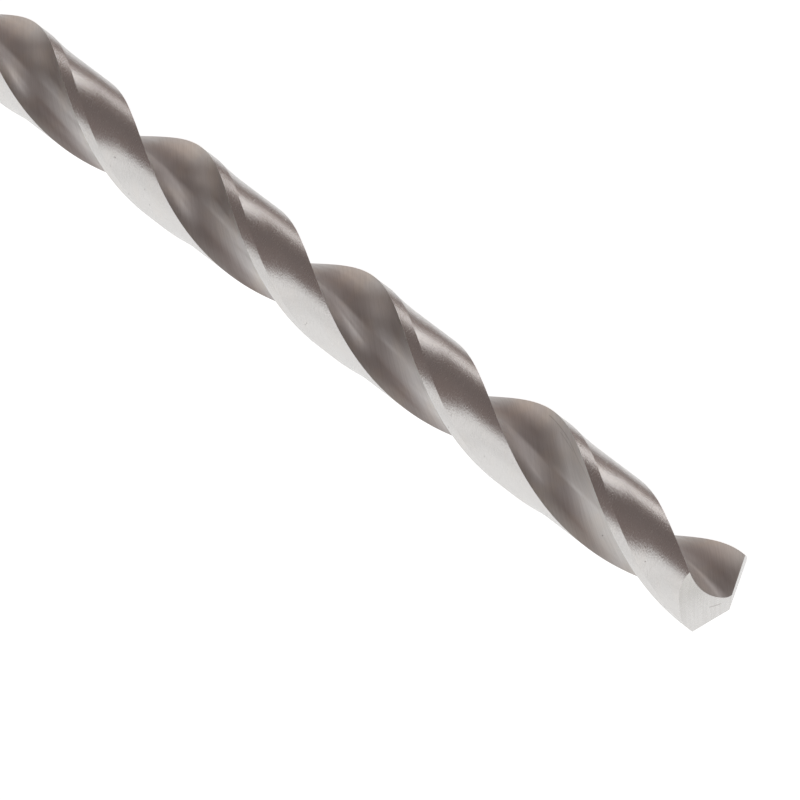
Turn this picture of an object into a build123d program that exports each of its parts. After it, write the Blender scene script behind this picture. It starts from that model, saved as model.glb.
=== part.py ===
from build123d import *
from math import acos, asin, atan, cos, degrees, pi, radians, sin, sqrt, tan
import os

# A long-series twist drill, lying on its side: one piece of bright high-speed steel with two
# right-hand flutes. Millimetres. +X runs along the drill's axis towards the point and +Z is up.
# The origin is on the axis, at the middle of the plain shank.

# Overall
DIAMETER = 6.0              # over the margins, at the outer corners
SHANK_UNDERSIZE = 0.05      # how much thinner the plain shank is
OVERALL_LENGTH = 139.0      # over the chisel edge
FLUTE_LENGTH = 91.0         # chisel edge to the end of the run-out
RUN_OUT_LENGTH = 12.0       # where the flutes climb back out of the body
SHANK_CHAMFER = 0.5
SHANK_SLOPE = 0.5           # short cone from the shank up to the fluted body
LEAD = 36.0                 # one turn of the helix
LIE = 32.8                  # how far the lips are turned up from level where the drill lies

# Cross-section
WEB = 0.92                  # core left between the flutes
LIP_WALL_RADIUS = 6.28      # flute wall that carries the cutting lip
HEEL_WALL_RADIUS = 2.61     # flute wall that runs out to the heel
FLOOR_RADIUS = 0.57         # where those two walls meet on the web
LAND_WIDTH = 3.9            # margin and body clearance together, square to the helix
MARGIN_WIDTH = 0.72         # square to the helix
MARGIN_HEIGHT = 0.19        # how far the body clearance lies below the margins
STEP_RADIUS = 3.0           # hollow in which that clearance rises to the margin

# Point
POINT_ANGLE = 133.3
LIP_RELIEF = 15.4           # slope of the flank straight behind the lip
CONE_HALF_ANGLE = 24.3      # of the cone that each flank is ground on
CONE_SET_OVER = 11.8        # that cone's apex, past the drill's axis
GRIND_DEPTH = 3.6           # reach of the grinding below the outer corners
RAW_END = 2.5               # blank above the outer corners, before grinding

radius = DIAMETER / 2
shank_radius = (DIAMETER - SHANK_UNDERSIZE) / 2
core = WEB / 2
clearance_radius = radius - MARGIN_HEIGHT
helix_angle = atan(pi * DIAMETER / LEAD)
corner_angle = degrees(asin(core / radius))
heel_angle = 180 + corner_angle - degrees(LAND_WIDTH / cos(helix_angle) / radius)
margin_angle = degrees(MARGIN_WIDTH / cos(helix_angle) / radius)

# Each flank is part of a cone that touches the straight cutting lip all along. Its apex and axis
# are given from the middle of the outer corners, with x along the lip and z towards the point.
lip_slope = 1 / tan(radians(POINT_ANGLE / 2))
along_lip = Vector(1, 0, -lip_slope).normalized()
into_flank = Vector(-lip_slope, tan(radians(LIP_RELIEF)), -1).normalized()
half_cone = radians(CONE_HALF_ANGLE)
cone_axis = along_lip * cos(half_cone) + into_flank * sin(half_cone)
cone_apex = Vector(
    -CONE_SET_OVER,
    core,
    (sqrt(radius**2 - core**2) + CONE_SET_OVER) * lip_slope,
)

# The drill's axis pierces that cone at the middle of the chisel edge. Its depth d under the apex
# solves a d^2 + 2 b d + c = 0, because the apex lies at the half angle from the cone's axis.
cone_cosine = cos(half_cone)
sideways = cone_apex.X * cone_axis.X + cone_apex.Y * cone_axis.Y
a = cone_axis.Z**2 - cone_cosine**2
b = sideways * cone_axis.Z
c = sideways**2 - cone_cosine**2 * (cone_apex.X**2 + cone_apex.Y**2)
point_height = cone_apex.Z - (sqrt(b**2 - a * c) - b) / a

# Lengths along the axis, measured from the outer corners of the lips
shank_length = OVERALL_LENGTH - FLUTE_LENGTH
corners = shank_length / 2 + FLUTE_LENGTH - point_height
run_out_end = point_height - FLUTE_LENGTH
run_out_start = run_out_end + RUN_OUT_LENGTH


def helix_plane(height):
    """Plane square to the axis, at a height above the outer corners, turned with the helix."""
    turn = radians(LIE + 360 * height / LEAD)
    return Plane(
        origin=(corners + height, 0, 0),
        x_dir=(0, cos(turn), sin(turn)),
        z_dir=(1, 0, 0),
    )


def axis_line(low, high):
    """The stretch of the axis between two heights above the outer corners."""
    return Line(helix_plane(low).origin, helix_plane(high).origin, mode=Mode.PRIVATE)


def helix_guide(low, high):
    """The helix that a section follows round the axis between two heights."""
    return Helix(LEAD, high - low, radius, helix_plane(low).origin, (1, 0, 0), mode=Mode.PRIVATE)


def opening(wall_radius, grazed_radius, edge_radius):
    """Angle at the axis from an edge to the centre of a hollow wall that grazes a circle there."""
    reach = wall_radius + grazed_radius
    return degrees(
        acos((edge_radius**2 + reach**2 - wall_radius**2) / (2 * edge_radius * reach))
    )


def wall_centre(wall_radius, edge_radius, edge_angle, turn):
    """Centre of a flute wall that grazes the core and passes through an edge of the land."""
    reach = wall_radius + core
    angle = radians(edge_angle + turn * opening(wall_radius, core, edge_radius))
    return (reach * cos(angle), reach * sin(angle))


def flute_outline(plane, lift=0):
    """Outline of one flute on a plane, lifted away from the axis along the flute's middle."""
    middle = radians((corner_angle + heel_angle) / 2)
    lifted = (lift * cos(middle), lift * sin(middle))
    with BuildSketch(plane) as outline:
        with Locations(lifted):
            with Locations(wall_centre(LIP_WALL_RADIUS, radius, corner_angle, 1)):
                Circle(LIP_WALL_RADIUS)
            with Locations(wall_centre(HEEL_WALL_RADIUS, clearance_radius, heel_angle, -1)):
                Circle(HEEL_WALL_RADIUS, mode=Mode.INTERSECT)
        fillet(outline.vertices().sort_by_distance(lifted)[0], FLOOR_RADIUS)
    return outline.sketch


def relief_outline(plane, lift=0):
    """What is ground off one land behind its margin, on a plane, lifted away from the axis.

    Its inner side is the body clearance and then the hollow step, which both run on past the
    edge of the land. Its rim lies well outside the body.
    """
    rim_radius = clearance_radius + STEP_RADIUS
    step_foot = corner_angle - margin_angle - opening(STEP_RADIUS, clearance_radius, radius)
    past_heel = heel_angle - 180 - margin_angle
    middle = radians((step_foot + past_heel) / 2)
    with BuildSketch(plane) as outline:
        with Locations((lift * cos(middle), lift * sin(middle))):
            with BuildLine():
                floor = CenterArc((0, 0), clearance_radius, past_heel, step_foot - past_heel)
                rim = CenterArc((0, 0), rim_radius, step_foot, past_heel - step_foot)
                rise = CenterArc(rim @ 0, STEP_RADIUS, step_foot + 180, -90)
                Line(rise @ 1, rim @ 0)
                Line(rim @ 1, floor @ 0)
            make_face()
    return outline.sketch


def helical_cut(outline, run_out_lift):
    """Sweep an outline from the raw end to the run-out, then lift it out of the body."""
    with BuildPart() as cut:
        sweep(
            outline(helix_plane(run_out_start)),
            axis_line(run_out_start, RAW_END),
            binormal=helix_guide(run_out_start, RAW_END).edge(),
        )
        sweep(
            [outline(helix_plane(run_out_end), run_out_lift), outline(helix_plane(run_out_start))],
            axis_line(run_out_end, run_out_start),
            multisection=True,
            binormal=helix_guide(run_out_end, run_out_start).edge(),
        )
    return cut.part


# What is ground off the raw end to leave one flank, with the outer corners at Z = 0. It is twice
# as wide as the drill and stands clear of the raw end, and the cone reaches past its far side.
waste_height = GRIND_DEPTH + 2 * RAW_END
cone_height = 2 * CONE_SET_OVER
upright = (Align.CENTER, Align.CENTER, Align.MIN)
with BuildPart() as flank_waste:
    with Locations((0, 0, -GRIND_DEPTH)):
        Cylinder(DIAMETER, waste_height, align=upright)
    with Locations(Plane(origin=cone_apex, z_dir=cone_axis)):
        Cone(0, cone_height * tan(half_cone), cone_height, align=upright, mode=Mode.SUBTRACT)

with BuildPart() as twist_drill:
    # Round blank with the shank's chamfered end
    with BuildSketch(Plane.XZ):
        with BuildLine():
            Polyline(
                (-shank_length / 2, 0),
                (-shank_length / 2, shank_radius - SHANK_CHAMFER),
                (-shank_length / 2 + SHANK_CHAMFER, shank_radius),
                (shank_length / 2 - SHANK_SLOPE, shank_radius),
                (shank_length / 2, radius),
                (corners + RAW_END, radius),
                (corners + RAW_END, 0),
                close=True,
            )
        make_face()
    revolve(axis=Axis.X)
    # Body clearance, flutes and flanks, one of each on either side
    with Locations(Location(), Location((0, 0, 0), (180, 0, 0))):
        add(helical_cut(relief_outline, 2 * MARGIN_HEIGHT), mode=Mode.SUBTRACT)
        add(helical_cut(flute_outline, radius - core), mode=Mode.SUBTRACT)
    with Locations(helix_plane(0)):
        with PolarLocations(0, 2):
            add(flank_waste.part, mode=Mode.SUBTRACT)
twist_drill.part.label = "twist_drill"

os.makedirs("parts", exist_ok=True)
export_step(twist_drill.part, "parts/twist_drill.step")
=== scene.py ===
import math

import bmesh
import bpy
import numpy as np
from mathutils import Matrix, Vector
from mathutils.geometry import delaunay_2d_cdt


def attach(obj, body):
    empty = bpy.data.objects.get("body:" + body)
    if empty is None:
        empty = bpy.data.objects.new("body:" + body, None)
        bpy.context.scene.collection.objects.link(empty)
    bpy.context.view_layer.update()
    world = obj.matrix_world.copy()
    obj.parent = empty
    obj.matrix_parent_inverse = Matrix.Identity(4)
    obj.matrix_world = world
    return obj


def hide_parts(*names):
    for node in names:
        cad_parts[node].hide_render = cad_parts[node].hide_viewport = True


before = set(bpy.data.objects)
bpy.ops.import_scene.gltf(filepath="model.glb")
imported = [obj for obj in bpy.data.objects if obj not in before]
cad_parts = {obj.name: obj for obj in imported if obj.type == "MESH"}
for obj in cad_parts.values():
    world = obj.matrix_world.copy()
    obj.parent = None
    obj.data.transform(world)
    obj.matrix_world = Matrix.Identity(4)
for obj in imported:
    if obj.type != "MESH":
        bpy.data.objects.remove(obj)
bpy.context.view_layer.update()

# A ground twist drill on a white background. It is one mesh with the solid's sizes, built in rows
# of points whose columns follow the helix, so that the ground edges stay sharp and the marks left
# by the wheel can follow the flutes.

# Sizes as in the solid, in millimetres and degrees
RADIUS = 3.0
SHANK_RADIUS = 2.975
CLEARANCE_RADIUS = 2.81     # of the body behind the margins
CORE = 0.46                 # half the web
LEAD = 36.0
LIE = 32.8                  # how far the lips are turned up from level
LIP_WALL_RADIUS = 6.28
HEEL_WALL_RADIUS = 2.61
FLOOR_RADIUS = 0.57         # where those two walls of a flute meet
LAND_WIDTH = 3.9
MARGIN_WIDTH = 0.72
OVERALL_LENGTH = 139.0
FLUTE_LENGTH = 91.0
RUN_OUT = 12.0
CHAMFER = 0.5
SLOPE = 0.5
POINT_ANGLE = 133.3
LIP_RELIEF = 15.4
CONE_HALF_ANGLE = 24.3
CONE_SET_OVER = 11.8
MM = 0.001

# The clearance rises to the margin gradually, where the solid has a hollow of a fixed radius
RISE_WIDTH = 1.6
RISE_POWER = 2.0

# Over the run-out the clearance fills up this much faster than the flutes, but never quite
FILLING_RATE = 1.6
FILLED = 0.999

# Fineness of the mesh
FLUTE_STEPS = 76            # columns across one flute
LAND_STEPS = 22             # across the body clearance
RISE_STEPS = 18             # across its rise to the margin
MARGIN_STEPS = 6
SHANK_ROWS = 12             # along the shank's wall
SLICE = 0.3                 # distance between rows along the flutes
TIP_START = -4.2            # height from which the rows close in on the ground point
TIP_ROWS = 18
CHISEL_STEPS = 6            # from the middle of the chisel edge to its end
FLANK_GRID = 0.11           # size of the triangles on the flanks
RIM_GAP = 0.6               # share of that size which stays clear of the flanks' edges
BEND_WEIGHT = 0.25          # millimetres of a flute's width that one radian of bend counts for
WALL_POINTS = 900           # on each wall of the fine outline that the flute's columns come from
FLOOR_POINTS = 300
PAST_RADIUS = 1.02          # towards where that outline runs on at its ends, in radii
PAST_ANGLE = 0.02           # and how far past the land's edges, in radians
ABOVE_POINT = 0.5           # millimetres over the point, where the search for its surface starts
CHISEL_SEARCH = 0.9         # radians on either side in which the chisel edge is looked for
HALVINGS = 50               # in each search
SAME_POINT = 1e-7           # millimetres, in the triangulation
INSIDE_EDGES = 1            # kind of its results: triangles inside the given edges
SAME_VERTEX = 2e-7          # metres

# Material slots of the drill
FLUTE_ZONE, LAND_ZONE, FLANK_ZONE = 0, 1, 2
FLANK_MARK_RADIUS = 6.0     # turns an angle round a flank's cone into millimetres of its marks


def unit(v):
    return v / np.linalg.norm(v)


def polar(r, angle):
    return np.stack([r * np.cos(angle), r * np.sin(angle)], -1)


def turned(xy, angle):
    c, s = np.cos(angle), np.sin(angle)
    return np.stack([xy[..., 0] * c - xy[..., 1] * s, xy[..., 0] * s + xy[..., 1] * c], -1)


def twist(z):
    """Turn of the helix at a height above the outer corners."""
    return 2 * math.pi * z / LEAD


def lengths_along(points):
    """Length of a path up to each of its points."""
    steps = np.linalg.norm(np.diff(points, axis=0), axis=1)
    return np.concatenate([[0], np.cumsum(steps)])


# Angles at the axis of the outer corner, the margin's step, the heel and the flute's middle
helix_angle = math.atan(2 * math.pi * RADIUS / LEAD)
corner_angle = math.asin(CORE / RADIUS)
step_angle = corner_angle - MARGIN_WIDTH / math.cos(helix_angle) / RADIUS
heel_angle = math.pi + corner_angle - LAND_WIDTH / math.cos(helix_angle) / RADIUS
flute_middle = (corner_angle + heel_angle) / 2

# Each flank is part of a cone. Its apex and axis are given from the middle of the outer corners,
# with x along the lip and z towards the point.
lip_slope = 1 / math.tan(math.radians(POINT_ANGLE / 2))
half_cone = math.radians(CONE_HALF_ANGLE)
along_lip = unit(np.array([1.0, 0.0, -lip_slope]))
into_flank = unit(np.array([-lip_slope, math.tan(math.radians(LIP_RELIEF)), -1.0]))
cone_axis = along_lip * math.cos(half_cone) + into_flank * math.sin(half_cone)
cone_apex = np.array([
    -CONE_SET_OVER,
    CORE,
    (math.sqrt(RADIUS**2 - CORE**2) + CONE_SET_OVER) * lip_slope,
])


def cone_height(xy):
    """Height of one flank's cone over the points xy.

    A height t above its apex solves a t^2 + 2 b t + c = 0, because the cone lies at the half angle
    from its axis. The axis leans by more than that, so a is negative, and the higher t is taken.
    """
    qx, qy = xy[..., 0] - cone_apex[0], xy[..., 1] - cone_apex[1]
    sideways = qx * cone_axis[0] + qy * cone_axis[1]
    squared_cosine = math.cos(half_cone) ** 2
    a = cone_axis[2] ** 2 - squared_cosine
    b = sideways * cone_axis[2]
    c = sideways**2 - squared_cosine * (qx**2 + qy**2)
    root = np.sqrt(np.maximum(b**2 - a * c, 0))
    return cone_apex[2] - (b + root) / a


def point_surface(xy):
    """Height of the ground point over xy, and whether the first flank is the lower one there."""
    one, two = cone_height(xy), cone_height(-xy)
    return np.minimum(one, two), one <= two


# Lengths along the axis, measured from the outer corners
point_height = float(point_surface(np.zeros(2))[0])
shank_length = OVERALL_LENGTH - FLUTE_LENGTH
corners_x = shank_length / 2 + FLUTE_LENGTH - point_height
run_out_end = point_height - FLUTE_LENGTH
run_out_start = run_out_end + RUN_OUT


# Outline of one flute

def wall_centre(wall, edge_radius, edge_angle, turn):
    """Centre of a flute wall that grazes the core and passes through an edge of the land."""
    reach = wall + CORE
    opening = math.acos((edge_radius**2 + reach**2 - wall**2) / (2 * edge_radius * reach))
    return polar(reach, edge_angle + turn * opening)


def arc(centre, r, start, end, count):
    """Points on a circle from the direction of start clockwise to that of end."""
    first = math.atan2(*(start - centre)[::-1])
    last = math.atan2(*(end - centre)[::-1])
    return centre + polar(r, np.linspace(first, first - (first - last) % (2 * math.pi), count))


def flute_path():
    """Fine outline from past the lip's corner, over the web, to past the heel."""
    lip = wall_centre(LIP_WALL_RADIUS, RADIUS, corner_angle, 1)
    heel = wall_centre(HEEL_WALL_RADIUS, CLEARANCE_RADIUS, heel_angle, -1)
    # The floor's circle touches both walls from inside, so its centre is this far from theirs
    from_lip, from_heel = LIP_WALL_RADIUS - FLOOR_RADIUS, HEEL_WALL_RADIUS - FLOOR_RADIUS
    apart = np.linalg.norm(heel - lip)
    along = (apart**2 + from_lip**2 - from_heel**2) / (2 * apart)
    aside = math.sqrt(from_lip**2 - along**2)
    ahead = (heel - lip) / apart
    left = np.array([-ahead[1], ahead[0]])
    centres = [lip + ahead * along + side * left * aside for side in (1, -1)]
    floor = min(centres, key=np.linalg.norm)
    lip_touch = floor + unit(floor - lip) * FLOOR_RADIUS
    heel_touch = floor + unit(floor - heel) * FLOOR_RADIUS
    start = polar(RADIUS * PAST_RADIUS, corner_angle - PAST_ANGLE)
    end = polar(RADIUS * PAST_RADIUS, heel_angle + PAST_ANGLE)
    return np.concatenate([
        arc(lip, LIP_WALL_RADIUS, start, lip_touch, WALL_POINTS),
        arc(floor, FLOOR_RADIUS, lip_touch, heel_touch, FLOOR_POINTS)[1:],
        arc(heel, HEEL_WALL_RADIUS, heel_touch, end, WALL_POINTS)[1:],
    ])


def trimmed(path, lip_edge, heel_edge):
    """The part of a flute's outline that lies inside a radius at each of its ends."""
    r = np.linalg.norm(path, axis=1)
    low = r.argmin()
    i = np.nonzero(r[:low] > lip_edge)[0].max()
    j = low + np.nonzero(r[low:] > heel_edge)[0].min()
    lip_share = (lip_edge - r[i]) / (r[i + 1] - r[i])
    heel_share = (heel_edge - r[j - 1]) / (r[j] - r[j - 1])
    first = path[i] + lip_share * (path[i + 1] - path[i])
    last = path[j - 1] + heel_share * (path[j] - path[j - 1])
    return np.concatenate([[first], path[i + 1:j], [last]])


def resampled(points, shares):
    """Points at given shares of a path's length."""
    run = lengths_along(points)
    return np.stack([np.interp(shares * run[-1], run, points[:, k]) for k in (0, 1)], -1)


def ends_of(section):
    """Where columns through these section points meet the ground point: over xy, and how high."""
    low = np.full(len(section), TIP_START)
    high = np.full(len(section), point_height + ABOVE_POINT)
    for _ in range(HALVINGS):
        z = (low + high) / 2
        below = z < point_surface(turned(section, twist(z)))[0]
        low, high = np.where(below, z, low), np.where(below, high, z)
    return turned(section, twist(z)), z


def flute_shares(flute):
    """Where a flute's columns lie, closer on its floor, and which is at the chisel edge."""
    run = lengths_along(flute)
    bend = np.abs(np.diff(np.unwrap(np.arctan2(*np.diff(flute, axis=0).T[::-1]))))
    weight = np.concatenate([[0], np.cumsum(np.diff(run) + BEND_WEIGHT * np.append(bend, 0))])
    shares = np.interp(np.linspace(0, weight[-1], FLUTE_STEPS + 1), weight, run) / run[-1]
    on_first_flank = point_surface(ends_of(flute)[0])[1]
    meets = run[np.nonzero(on_first_flank)[0].max()] / run[-1]
    column = 1 + int(np.abs(shares[1:-1] - meets).argmin())
    shares[column] = meets
    return shares, column


OUTLINE = flute_path()
SHARES, CHISEL_COLUMN = flute_shares(trimmed(OUTLINE, RADIUS, CLEARANCE_RADIUS))


# Sections: a column of the mesh passes through each of their points

HALF_COLUMNS = FLUTE_STEPS + LAND_STEPS + RISE_STEPS + MARGIN_STEPS
COLUMNS = 2 * HALF_COLUMNS
STEP_COLUMN = FLUTE_STEPS + LAND_STEPS + RISE_STEPS
BODY_ROW = SHANK_ROWS + 1   # the first row after the shank, whose end has a row of its own


def full_section(lift=0.0, clearance=CLEARANCE_RADIUS):
    """Outline counterclockwise from the first lip, with both flutes lifted away from the axis."""
    flute = resampled(trimmed(OUTLINE + polar(lift, flute_middle), RADIUS, clearance), SHARES)
    corner = math.atan2(flute[0][1], flute[0][0])
    heel = math.atan2(flute[-1][1], flute[-1][0])
    step = math.pi + step_angle
    foot = step - RISE_WIDTH / RADIUS
    land = polar(clearance, np.linspace(heel, foot, LAND_STEPS + 1))[1:]
    # The rise starts gently and is steepest at the step
    share = np.linspace(0, 1, RISE_STEPS + 1)[1:]
    rise = polar(clearance + (RADIUS - clearance) * share**RISE_POWER, foot + (step - foot) * share)
    margin = polar(RADIUS, np.linspace(step, math.pi + corner_angle, MARGIN_STEPS + 1))[1:-1]
    half = np.concatenate([[polar(RADIUS, corner)], flute[1:], land, rise, margin])
    return np.concatenate([half, -half])


def closed_section():
    """The same columns where the flutes have run out: each flute's lie together at its middle."""
    step = math.pi + step_angle
    land = np.linspace(flute_middle, step, LAND_STEPS + RISE_STEPS + 1)
    margin = np.linspace(step, math.pi + flute_middle, MARGIN_STEPS + 1)[1:-1]
    half = polar(RADIUS, np.concatenate([np.full(FLUTE_STEPS, flute_middle), land, margin]))
    return np.concatenate([half, -half])


def placed(xy, z):
    """From millimetres in the section, which turns with the helix, to metres in the frame."""
    yz = turned(xy, twist(z) + math.radians(LIE))
    x = corners_x + np.broadcast_to(z, yz.shape[:-1])
    return np.stack([x, yz[..., 0], yz[..., 1]], -1) * MM


def build_rows():
    """Rows from the shank's end to the ground point, and the point's rim over xy."""
    # Shank, which doesn't turn: its end, chamfer and wall. Its slope leads to the body's first row.
    closed = closed_section()
    untwisted = turned(closed, twist(run_out_end))
    end = -shank_length / 2 - corners_x
    wall = np.linspace(end + CHAMFER, run_out_end - SLOPE, SHANK_ROWS)
    shank = [(end, SHANK_RADIUS - CHAMFER), *((z, SHANK_RADIUS) for z in wall)]
    rows = [placed(turned(untwisted * (r / RADIUS), -twist(z)), z) for z, r in shank]
    # Run-out and flutes
    rows.append(placed(closed, run_out_end))
    slices = int(round((TIP_START - run_out_end) / SLICE))
    for z in np.linspace(run_out_end, TIP_START, slices + 1)[1:]:
        out = max(0.0, (run_out_start - z) / RUN_OUT)
        filled = min(FILLED, out * FILLING_RATE)
        clearance = CLEARANCE_RADIUS + (RADIUS - CLEARANCE_RADIUS) * filled
        rows.append(placed(full_section(out * (RADIUS - CORE), clearance), z))
    # The tip: every column runs on to the ground point
    section = full_section()
    rim, top = ends_of(section)
    for t in np.linspace(0, 1, TIP_ROWS + 1)[1:]:
        rows.append(placed(section, TIP_START + (top - TIP_START) * t))
    return np.array(rows), rim


ROWS, RIM = build_rows()
ROW_COUNT = len(ROWS)


def vertex(row, column):
    return row * COLUMNS + column % COLUMNS


# Flanks

def chisel_line():
    """Points along the chisel edge, between its two ends on the web."""
    end = RIM[CHISEL_COLUMN]
    reach = np.linalg.norm(end) * np.linspace(0, 1, CHISEL_STEPS + 1)[1:-1]
    low = np.full(len(reach), math.atan2(end[1], end[0]) - CHISEL_SEARCH)
    high = low + 2 * CHISEL_SEARCH
    for _ in range(HALVINGS):
        angle = (low + high) / 2
        on_first_flank = point_surface(polar(reach, angle))[1]
        low, high = np.where(on_first_flank, angle, low), np.where(on_first_flank, high, angle)
    half = polar(reach, (low + high) / 2)
    return np.concatenate([-half[::-1], [[0, 0]], half])


def inner_grid(edges):
    """A triangular grid over the point that stays clear of the points on its edges."""
    span = np.arange(-RADIUS, RADIUS, FLANK_GRID)
    gx, gy = np.meshgrid(span, span)
    gx[1::2] += FLANK_GRID / 2
    grid = np.stack([gx.ravel(), gy.ravel()], -1)
    gaps = np.linalg.norm(grid[:, None] - edges[None], axis=2).min(axis=1)
    return grid[gaps > RIM_GAP * FLANK_GRID]


def build_flanks():
    """Triangles inside the rim, with the chisel edge between the two flanks.

    Returns the places over xy of the vertices that they need besides the last row's, then each
    triangle as its places over xy and its vertices, and then the vertices along the chisel edge.
    """
    edges = np.concatenate([RIM, chisel_line()])
    places = [Vector(p) for p in np.concatenate([edges, inner_grid(edges)])]
    rim = [(i, (i + 1) % COLUMNS) for i in range(COLUMNS)]
    chisel = [CHISEL_COLUMN + HALF_COLUMNS, *range(COLUMNS, len(edges)), CHISEL_COLUMN]
    kept_edges = rim + list(zip(chisel[:-1], chisel[1:]))
    found, _, faces, origins = delaunay_2d_cdt(
        places, kept_edges, [], INSIDE_EDGES, SAME_POINT)[:4]
    xy = np.array([tuple(v) for v in found])
    # What was found stands for one or more of the places given, and the rim's have vertices already
    numbers, inner, number_of = [], [], {}
    for place, sources in zip(xy, origins):
        on_rim = [source for source in sources if source < COLUMNS]
        if on_rim:
            numbers.append(vertex(ROW_COUNT - 1, on_rim[0]))
        else:
            numbers.append(vertex(ROW_COUNT, 0) + len(inner))
            inner.append(place)
        number_of.update((source, numbers[-1]) for source in sources)
    triangles = [(xy[list(face)], [numbers[k] for k in face]) for face in faces]
    return np.array(inner), triangles, [number_of[source] for source in chisel]


# Faces, each as its vertices, its zone and its corners in the "marks" layer. That layer is in
# millimetres: on the drill's wall u runs across the section and v along the axis.

GIRTHS = lengths_along(np.concatenate([full_section(), full_section()[:1]]))
HALF_GIRTH = float(GIRTHS[HALF_COLUMNS])


def wall_faces():
    """Quads between the rows, from the shank's end to the rim."""
    faces = []
    for r in range(ROW_COUNT - 1):
        for c in range(COLUMNS):
            corners = ((r, c), (r, c + 1), (r + 1, c + 1), (r + 1, c))
            in_flute = r >= BODY_ROW and c % HALF_COLUMNS < FLUTE_STEPS
            marks = [(GIRTHS[j], ROWS[i, j % COLUMNS, 0] / MM) for i, j in corners]
            zone = FLUTE_ZONE if in_flute else LAND_ZONE
            faces.append(([vertex(i, j) for i, j in corners], zone, marks))
    return faces


def shank_end():
    """The flat end, with y and z as its marks."""
    corners = range(COLUMNS)[::-1]
    return list(corners), LAND_ZONE, [(ROWS[0, k, 1] / MM, ROWS[0, k, 2] / MM) for k in corners]


def flank_marks(xy):
    """Marks of one triangle: u round the flank's cone, negative on the second, v from the apex."""
    side = 1 if point_surface(xy.mean(0))[1] else -1
    on_cone = xy * side
    from_apex = np.concatenate([on_cone, cone_height(on_cone)[:, None]], 1) - cone_apex
    across = from_apex - (from_apex @ cone_axis)[:, None] * cone_axis
    level = unit(np.cross(cone_axis, [0, 0, 1]))
    up = np.cross(level, cone_axis)
    azimuth = np.arctan2(across @ level, -(across @ up))
    return np.stack([azimuth * FLANK_MARK_RADIUS * side, np.linalg.norm(from_apex, axis=1)], -1)


def flank_faces(triangles):
    faces = []
    for xy, corners in triangles:
        marks = flank_marks(xy).tolist()
        (ax, ay), (bx, by) = xy[1] - xy[0], xy[2] - xy[0]
        if ax * by - ay * bx <= 0:
            corners, marks = corners[::-1], marks[::-1]
        faces.append((corners, FLANK_ZONE, marks))
    return faces


def sharp_edges(chisel):
    """Vertex pairs of the ground edges: corners, heels, steps, rims, the shank's and the chisel."""
    pairs = list(zip(chisel[:-1], chisel[1:]))
    for column in (0, FLUTE_STEPS, STEP_COLUMN):
        for c in (column, column + HALF_COLUMNS):
            pairs += [(vertex(r, c), vertex(r + 1, c)) for r in range(BODY_ROW, ROW_COUNT - 1)]
    for r in (0, 1, BODY_ROW - 1, BODY_ROW, ROW_COUNT - 1):
        pairs += [(vertex(r, c), vertex(r, c + 1)) for c in range(COLUMNS)]
    return {tuple(sorted(pair)) for pair in pairs}


def clean(mesh):
    """Merge the vertices that lie on each other, as in the closed flutes, and drop loose ones."""
    bm = bmesh.new()
    bm.from_mesh(mesh)
    bmesh.ops.remove_doubles(bm, verts=bm.verts, dist=SAME_VERTEX)
    bmesh.ops.delete(bm, geom=[v for v in bm.verts if not v.link_faces], context="VERTS")
    bm.to_mesh(mesh)
    bm.free()
    mesh.update()


def ground_mesh():
    inner, triangles, chisel = build_flanks()
    heights = point_surface(inner)[0]
    verts = np.concatenate([
        ROWS.reshape(-1, 3),
        placed(turned(inner, -twist(heights)), heights),
    ])
    faces = [*wall_faces(), shank_end(), *flank_faces(triangles)]
    mesh = bpy.data.meshes.new("twist_drill_ground")
    mesh.from_pydata(verts.tolist(), [], [corners for corners, _, _ in faces])
    mesh.update()
    layer = mesh.uv_layers.new(name="marks")
    marks = [mark for _, _, face_marks in faces for mark in face_marks]
    layer.data.foreach_set("uv", np.array(marks, np.float32).ravel())
    mesh.polygons.foreach_set("material_index", np.array([z for _, z, _ in faces], np.int32))
    mesh.polygons.foreach_set("use_smooth", np.ones(len(faces), bool))
    pairs = sharp_edges(chisel)
    sharp = np.array([tuple(sorted(edge.vertices)) in pairs for edge in mesh.edges])
    mesh.attributes.new("sharp_edge", "BOOLEAN", "EDGE").data.foreach_set("value", sharp)
    clean(mesh)
    return mesh


drill = bpy.data.objects.new("twist_drill_ground", ground_mesh())
bpy.context.scene.collection.objects.link(drill)
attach(drill, "root")
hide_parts("twist_drill")


# Camera: a long lens from above the point's side

CAMERA_PLACE = (0.34112856, -0.22640941, 0.30453433)
CAMERA_TURN = (48.0419, 0.0, 48.7670)
CAMERA_LENS = 309.519
CAMERA_SENSOR = 36.0
CAMERA_NEAR = 0.01


def add_camera():
    data = bpy.data.cameras.new("camera")
    data.lens = CAMERA_LENS
    data.sensor_width = CAMERA_SENSOR
    data.clip_start = CAMERA_NEAR
    camera = bpy.data.objects.new("camera", data)
    camera.location = CAMERA_PLACE
    camera.rotation_euler = [math.radians(angle) for angle in CAMERA_TURN]
    bpy.context.scene.collection.objects.link(camera)
    bpy.context.scene.camera = camera


add_camera()
bpy.context.scene.view_settings.view_transform = "Standard"


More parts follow.
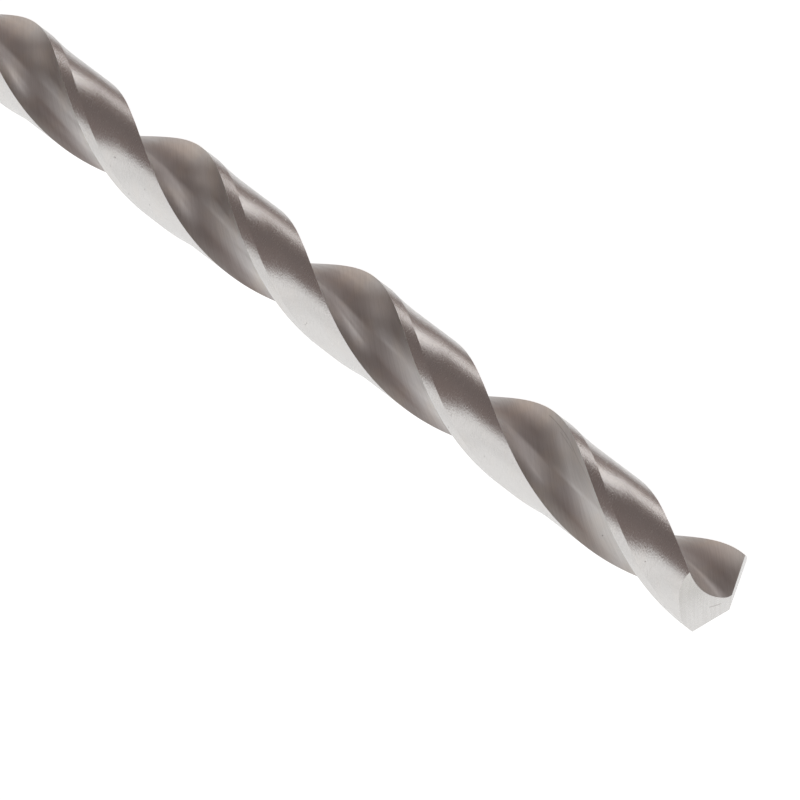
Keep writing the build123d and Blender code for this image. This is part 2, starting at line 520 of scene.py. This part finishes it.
class Nodes:
    """Short ways to add and link the nodes of one tree."""

    def __init__(self, tree):
        self.tree = tree

    def add(self, kind, **settings):
        node = self.tree.nodes.new(kind)
        for key, value in settings.items():
            setattr(node, key, value)
        return node

    def put(self, socket, value):
        """Link an output to a socket, or set the socket to a plain value."""
        if isinstance(value, bpy.types.NodeSocket):
            self.tree.links.new(value, socket)
        else:
            socket.default_value = value

    def filled(self, kind, values, **settings):
        """A new node whose first sockets, or the named ones, hold the values."""
        node = self.add(kind, **settings)
        for key, value in (values.items() if isinstance(values, dict) else enumerate(values)):
            self.put(node.inputs[key], value)
        return node

    def math(self, operation, *values):
        return self.filled("ShaderNodeMath", values, operation=operation).outputs[0]

    def vector(self, operation, *values):
        return self.filled("ShaderNodeVectorMath", values, operation=operation).outputs["Vector"]

    def dot(self, one, two):
        node = self.filled("ShaderNodeVectorMath", (one, two), operation="DOT_PRODUCT")
        return node.outputs["Value"]

    def times(self, one, two):
        return self.math("MULTIPLY", one, two)

    def ramp(self, value, low, high, to_low=0.0, to_high=1.0):
        """The value's place between low and high, eased at both ends."""
        values = (value, low, high, to_low, to_high)
        node = self.filled("ShaderNodeMapRange", values, interpolation_type="SMOOTHSTEP")
        return node.outputs[0]

    def mix(self, share, one, two, blend="MIX"):
        """One colour turning into, or blended with, another. Plain colours are three numbers."""
        node = self.add("ShaderNodeMix", data_type="RGBA", blend_type=blend)
        self.put(node.inputs["Factor"], share)
        for socket, colour in ((node.inputs[6], one), (node.inputs[7], two)):
            self.put(socket, (*colour, 1) if isinstance(colour, tuple) else colour)
        return node.outputs[2]

    def noise(self, vector, scale, detail=2.0, rough=0.5):
        values = {"Vector": vector, "Scale": scale, "Detail": detail, "Roughness": rough}
        return self.filled("ShaderNodeTexNoise", values).outputs["Fac"]


# Ground steel: each zone has its own marks, at places in the "marks" layer. Along the wall a line
# of constant u follows the helix.

STEEL = (0.82, 0.805, 0.79)
METALLIC = 0.93
MICROMETRE = 0.001          # in millimetres
LINE_FADE = 0.08            # length over which a single line fades out at each end
SPECK_CORE = 0.4            # share of a speck's radius where it is full


def ground_steel(name):
    """A new material with its nodes, its shader and the place in the marks layer."""
    material = bpy.data.materials.new(name)
    material.use_nodes = True
    shader = material.node_tree.nodes["Principled BSDF"]
    shader.inputs["Metallic"].default_value = METALLIC
    n = Nodes(material.node_tree)
    place = n.add("ShaderNodeUVMap", uv_map="marks")
    return material, n, shader, place.outputs[0]


def marks_along(n, place, direction, fine, coarse, detail=2.0, rough=0.5):
    """Noise drawn out into marks along a direction: fine across it and coarse along it."""
    du, dv = unit(np.array(direction))
    lengthwise = n.times(n.dot(place, (du, dv, 0)), coarse)
    across = n.times(n.dot(place, (-dv, du, 0)), fine)
    drawn_out = n.filled("ShaderNodeCombineXYZ", (lengthwise, across))
    return n.noise(drawn_out.outputs[0], 1.0, detail, rough)


def line_mark(n, place, start, end, width):
    """1 on a thin straight line between two places, fading out at its ends."""
    a, b = np.array(start), np.array(end)
    length = np.linalg.norm(b - a)
    du, dv = (b - a) / length
    off_line = n.math("SUBTRACT", n.dot(place, (-dv, du, 0)), float(a @ (-dv, du)))
    off_middle = n.math("SUBTRACT", n.dot(place, (du, dv, 0)), float((a + b) @ (du, dv) / 2))
    across, run = n.math("ABSOLUTE", off_line), n.math("ABSOLUTE", off_middle)
    inside = n.ramp(run, length / 2 - LINE_FADE, length / 2, 1.0, 0.0)
    return n.times(inside, n.ramp(across, 0.0, width, 1.0, 0.0))


def speck(n, place, u, v, size):
    """1 in a small round spot of a given radius."""
    away = n.filled("ShaderNodeVectorMath", (place, (u, v, 0)), operation="DISTANCE")
    return n.ramp(away.outputs["Value"], SPECK_CORE * size, size, 1.0, 0.0)


def every(n, place, make, given):
    """All the lines or specks that are given, as one value from 0 to 1."""
    total, *others = [make(n, place, *one) for one in given]
    for other in others:
        total = n.math("MAXIMUM", total, other)
    return total


def bump(n, shader, heights):
    """Bump the surface by the sum of heights, each a value from 0 to 1 and its micrometres."""
    total = 0.0
    for value, size in heights:
        total = n.math("ADD", total, n.times(value, size * MICROMETRE))
    node = n.filled("ShaderNodeBump", {"Height": total, "Distance": MM})
    n.put(shader.inputs["Normal"], node.outputs[0])


# Flutes. A line is two places and a width, and a speck is a place and a radius.

FLUTE_GREY = (0.74, 0.72, 0.71)
FLUTE_WARM = (0.82, 0.76, 0.69)
FLUTE_MARKS = (0.52, 0.50, 0.48)
FLUTE_NICKS = (0.22, 0.19, 0.17)
FLUTE_HAIRLINES = (
    ((9.95, 95.2), (10.15, 98.6), 0.030),
    ((10.15, 98.6), (10.9, 102.4), 0.035),
    ((10.3, 97.2), (10.45, 99.4), 0.022),
)
FLUTE_PITS = ((13.66, 104.06, 0.07), (1.3, 101.2, 0.05))
FLUTE_ANISOTROPY = 0.65
FLUTE_METALLIC = 0.98
# A painted reflection: a paler, less metallic crescent on the second flute towards the point,
# standing in for a lit flute wall that it mirrors
PAINTED_REFLECTION_SLANT = (-1.0, 0.53, 0.0)      # the pale part lies on the far side of this slant
PAINTED_REFLECTION_EDGE = (40.1, 41.3)            # where along it that part starts and is full
PAINTED_REFLECTION_FADE = 0.3                     # and how softly it ends at the second lip
PAINTED_REFLECTION_LESS_METALLIC = 0.6
FLUTE_FLOOR_PLACE = 3.0             # of the flute's floor, from the lip's corner
FLUTE_FLOOR_REACH = (0.5, 1.1)      # to either side, where its roughness starts to fade and ends
FLUTE_FLOOR_ROUGHER = 0.17


def flute_steel():
    """Matt, with fine marks at a slant to the helix, and others that nearly follow it."""
    material, n, shader, place = ground_steel("flute_steel")
    # Towards the point the second flute is paler and less metallic in a crescent: a painted
    # reflection of a lit flute wall
    u = n.dot(place, (1.0, 0.0, 0.0))
    past_slant = n.ramp(n.dot(place, PAINTED_REFLECTION_SLANT), *PAINTED_REFLECTION_EDGE)
    painted_reflection = n.times(past_slant, n.ramp(u, HALF_GIRTH - PAINTED_REFLECTION_FADE, HALF_GIRTH))
    fine = marks_along(n, place, (0.57, 0.82), fine=11.0, coarse=0.4, detail=3.0, rough=0.6)
    broad = marks_along(n, place, (0.1, 1.0), fine=3.5, coarse=0.2)
    crossing = marks_along(n, place, (0.15, 1.0), fine=9.0, coarse=0.5)
    warm = n.ramp(n.noise(place, 0.45), 0.42, 0.68)
    hairlines = every(n, place, line_mark, FLUTE_HAIRLINES)
    pits = every(n, place, speck, FLUTE_PITS)
    # Paler steel where the reflection is painted
    colour = n.mix(painted_reflection, FLUTE_GREY, STEEL)
    colour = n.mix(n.times(warm, 0.45), colour, FLUTE_WARM)
    colour = n.mix(n.ramp(fine, 0.35, 0.7, 0.0, 0.3), colour, FLUTE_MARKS)
    colour = n.mix(n.times(n.math("MAXIMUM", hairlines, pits), 0.6), colour, FLUTE_NICKS)
    # Less metallic there too, for the painted reflection
    metallic = n.math("SUBTRACT", FLUTE_METALLIC, n.times(painted_reflection, PAINTED_REFLECTION_LESS_METALLIC))
    # The floor is rougher, apart from the painted reflection
    from_lip = n.math("FLOORED_MODULO", u, HALF_GIRTH)
    from_floor = n.math("ABSOLUTE", n.math("SUBTRACT", from_lip, FLUTE_FLOOR_PLACE))
    floor_part = n.ramp(from_floor, *FLUTE_FLOOR_REACH, FLUTE_FLOOR_ROUGHER, 0.0)
    floor_part = n.times(floor_part, n.math("SUBTRACT", 1.0, painted_reflection))
    roughness = n.math("ADD", n.ramp(broad, 0.3, 0.7, 0.31, 0.42), floor_part)
    tangent = n.add("ShaderNodeTangent", direction_type="UV_MAP", uv_map="marks")
    n.put(shader.inputs["Base Color"], colour)
    n.put(shader.inputs["Metallic"], metallic)
    n.put(shader.inputs["Roughness"], roughness)
    n.put(shader.inputs["Anisotropic"], FLUTE_ANISOTROPY)
    n.put(shader.inputs["Tangent"], tangent.outputs[0])
    bump(n, shader, [(fine, 4.5), (broad, 2.5), (crossing, 1.5), (hairlines, -3.0), (pits, -6.0)])
    return material


# Lands and shank

LAND_STREAKS = (0.60, 0.58, 0.56)
LAND_WARM = (0.83, 0.79, 0.75)
LAND_PITS = (0.16, 0.13, 0.12)
LAND_SCRATCHES = (
    ((8.72, 106.73), (8.48, 106.62), 0.05),
    ((6.61, 108.15), (6.21, 109.07), 0.035),
    ((6.21, 109.07), (5.96, 109.67), 0.035),
    ((6.9, 109.0), (6.4, 109.9), 0.03),
)
SCRATCH_LEVEL = 0.5         # scratches follow this level of their noise
SCRATCH_WIDTH = 0.008       # in that noise's own measure
PIT_SCALE = 1.6


def land_steel():
    """Brighter and ground crosswise, with a rough skin, streaks, scratches and pits."""
    material, n, shader, place = ground_steel("land_steel")
    streaks = marks_along(n, place, (0.742, 0.36), fine=13.0, coarse=2.2, detail=3.0, rough=0.65)
    skin = n.noise(place, 9.0, detail=3.0, rough=0.6)
    warm = n.ramp(n.noise(place, 0.6), 0.45, 0.7, 0.0, 0.3)
    # Thin scratches here and there, and the single ones that the photo shows
    lines = marks_along(n, place, (0.9, 0.75), fine=7.0, coarse=0.5, detail=1.0)
    off_line = n.math("ABSOLUTE", n.math("SUBTRACT", lines, SCRATCH_LEVEL))
    scratches = n.ramp(off_line, 0.0, SCRATCH_WIDTH, 1.0, 0.0)
    scratches = n.times(scratches, n.ramp(n.noise(place, 1.7, detail=1.0), 0.6, 0.68))
    scratches = n.math("MAXIMUM", scratches, every(n, place, line_mark, LAND_SCRATCHES))
    # Pits, in patches
    cells = n.filled("ShaderNodeTexVoronoi", {"Vector": place, "Scale": PIT_SCALE}, feature="F1")
    pits = n.ramp(cells.outputs["Distance"], 0.03, 0.09, 1.0, 0.0)
    pits = n.times(pits, n.ramp(n.noise(place, 0.8, detail=1.0), 0.5, 0.56))
    colour = n.mix(n.ramp(streaks, 0.3, 0.75, 0.0, 0.22), STEEL, LAND_STREAKS)
    colour = n.mix(warm, colour, LAND_WARM)
    colour = n.mix(n.times(pits, 0.7), colour, LAND_PITS)
    n.put(shader.inputs["Base Color"], colour)
    n.put(shader.inputs["Roughness"], n.ramp(streaks, 0.3, 0.7, 0.16, 0.28))
    bump(n, shader, [(streaks, 9.0), (skin, 16.0), (scratches, -3.0), (pits, -8.0)])
    return material


# Flanks

FLANK_ARCS = (0.62, 0.60, 0.58)
FLANK_NICKS = (0.3, 0.27, 0.25)
FLANK_SCRATCHES = (((-15.74, 14.31), (-15.96, 13.46), 0.06),)


def flank_steel():
    """Ground point, with fine arcs left by the wheel on each flank's cone."""
    material, n, shader, place = ground_steel("flank_steel")
    # The second flank's marks run the other way round, because its u is negative
    folded = n.vector("ABSOLUTE", place)
    arcs = marks_along(n, folded, (0.9, 0.43), fine=5.0, coarse=0.25)
    skin = n.noise(place, 3.0, detail=1.0)
    scratches = every(n, place, line_mark, FLANK_SCRATCHES)
    colour = n.mix(n.ramp(arcs, 0.3, 0.75, 0.0, 0.3), STEEL, FLANK_ARCS)
    colour = n.mix(n.times(scratches, 0.5), colour, FLANK_NICKS)
    n.put(shader.inputs["Base Color"], colour)
    n.put(shader.inputs["Roughness"], n.ramp(skin, 0.3, 0.7, 0.24, 0.32))
    bump(n, shader, [(arcs, 3.0), (skin, 1.2), (scratches, -4.0)])
    return material


# In the order of the zones
for make_steel in (flute_steel, land_steel, flank_steel):
    drill.data.materials.append(make_steel())


# Floor: plain white to the camera. To the steel it is also a little glossy, so that it mirrors the
# dim studio where the steel sees it low.

STAGE_HALF = 1.5                    # metres
STAGE_WHITE = 0.93
STAGE_SHADED = (0.5, 0.5, 0.5, 1)   # catches the studio's light, and so the drill's shadow
STAGE_GLOSS = 0.1                   # roughness of the glossy part
STAGE_IOR = 1.54


def floor_white():
    material = bpy.data.materials.new("floor_white")
    material.use_nodes = True
    tree = material.node_tree
    tree.nodes.remove(tree.nodes["Principled BSDF"])
    n = Nodes(tree)

    def shader(kind, values):
        return n.filled(kind, values).outputs[0]

    white = {"Strength": STAGE_WHITE}
    mirrored = shader("ShaderNodeMixShader", (
        shader("ShaderNodeFresnel", {"IOR": STAGE_IOR}),
        shader("ShaderNodeEmission", white),
        shader("ShaderNodeBsdfGlossy", {"Roughness": STAGE_GLOSS}),
    ))
    seen = shader("ShaderNodeAddShader", (
        shader("ShaderNodeEmission", white),
        shader("ShaderNodeBsdfDiffuse", {"Color": STAGE_SHADED}),
    ))
    from_camera = n.add("ShaderNodeLightPath").outputs["Is Camera Ray"]
    surface = shader("ShaderNodeMixShader", (from_camera, mirrored, seen))
    n.put(tree.nodes["Material Output"].inputs["Surface"], surface)
    return material


def add_floor():
    mesh = bpy.data.meshes.new("floor")
    corners = [
        (x * STAGE_HALF, y * STAGE_HALF, -RADIUS * MM)
        for x, y in ((-1, -1), (1, -1), (1, 1), (-1, 1))
    ]
    mesh.from_pydata(corners, [], [(0, 1, 2, 3)])
    mesh.materials.append(floor_white())
    floor = bpy.data.objects.new("floor", mesh)
    bpy.context.scene.collection.objects.link(floor)


add_floor()


# Studio: dim brown-grey with soft pale panels, which the steel mirrors. The camera sees plain
# white instead. A panel is its azimuth and elevation in degrees, the cosines from its middle where
# it fades out and where it is full, and its colour.

DIM = (0.137, 0.112, 0.106)
WHITE = (1.0, 1.0, 1.0)
BLACK = (0.0, 0.0, 0.0)
PANELS = (
    (-98.4, 1.5, 0.690, 0.822, (0.84, 0.84, 0.84)),
    (-66.3, 24.0, 0.007, 1.158, (0.12, 0.08, 0.07)),
    (176.1, -12.6, 0.724, 1.13, (0.81, 0.71, 0.63)),
    (170.0, 5.0, 0.90, 1.0, (0.26, 0.20, 0.17)),
    (136.0, 12.0, 0.62, 0.962, (0.13, 0.10, 0.09)),
    (-26.0, -6.0, 0.58, 0.80, (0.75, 0.76, 0.74)),
)
LAMP = (119.0, 37.0, 0.9511, 0.9848, (0.86, 0.86, 0.86))


def toward(azimuth, elevation):
    a, e = math.radians(azimuth), math.radians(elevation)
    return (math.cos(e) * math.cos(a), math.cos(e) * math.sin(a), math.sin(e))


def less(colour):
    """What a colour leaves of white."""
    return tuple(1 - c for c in colour)


def light_studio():
    studio = bpy.data.worlds.new("studio")
    bpy.context.scene.world = studio
    studio.use_nodes = True
    n = Nodes(studio.node_tree)
    direction = n.add("ShaderNodeTexCoord").outputs["Generated"]

    def share(azimuth, elevation, fades, full):
        return n.ramp(n.dot(direction, toward(azimuth, elevation)), fades, full)

    # Where panels overlap, each adds to what the others leave of white
    left = less(DIM)
    for *place, colour in PANELS:
        left = n.mix(share(*place), left, less(colour), "MULTIPLY")
    light = n.mix(1.0, WHITE, left, "SUBTRACT")
    # The lamp is added on top
    *place, colour = LAMP
    light = n.mix(1.0, light, n.mix(share(*place), BLACK, colour), "ADD")
    from_camera = n.add("ShaderNodeLightPath").outputs["Is Camera Ray"]
    light = n.mix(from_camera, light, WHITE)
    n.put(studio.node_tree.nodes["Background"].inputs["Color"], light)


light_studio()
